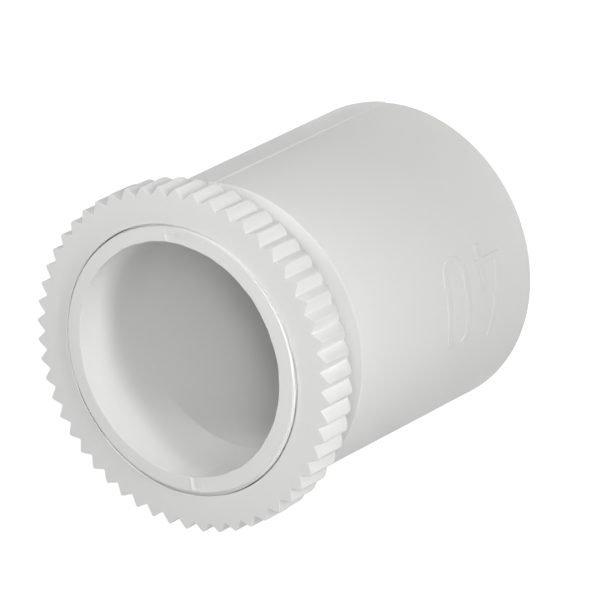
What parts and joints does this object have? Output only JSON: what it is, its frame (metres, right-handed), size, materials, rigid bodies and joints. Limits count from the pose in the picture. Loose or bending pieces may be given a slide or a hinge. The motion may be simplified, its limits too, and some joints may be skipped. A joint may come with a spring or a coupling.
{
  "type": "conduit adaptor",
  "caption": "Straight plastic conduit adaptor: a plain round socket at one end, a short threaded spigot at the other, and a toothed lock ring that screws along the spigot to clamp a box wall.",
  "frame": {"origin": "centre of the socket's mouth, on the plane that the adaptor stands on", "axes": "+Z along the adaptor's axis, from the socket's mouth to the end of the threaded spigot; +X and -X run through the two mould parting lines"},
  "size_m": [0.051, 0.051, 0.0562],
  "materials": {
    "body_pvc": "satin moulded rigid PVC, off-white",
    "ring_pvc": "satin moulded rigid PVC, off-white"
  },
  "bodies": {
    "adaptor": {"adaptor_body": "body_pvc"},
    "ring": {"lock_ring": "ring_pvc"}
  },
  "joints": [
    {"name": "ring_turn", "type": "hinge", "parent": "adaptor", "child": "ring", "pos_m": [0, 0, 0.0523], "axis": [0, 0, -1], "range_deg": [-1584, 1272]}
  ]
}
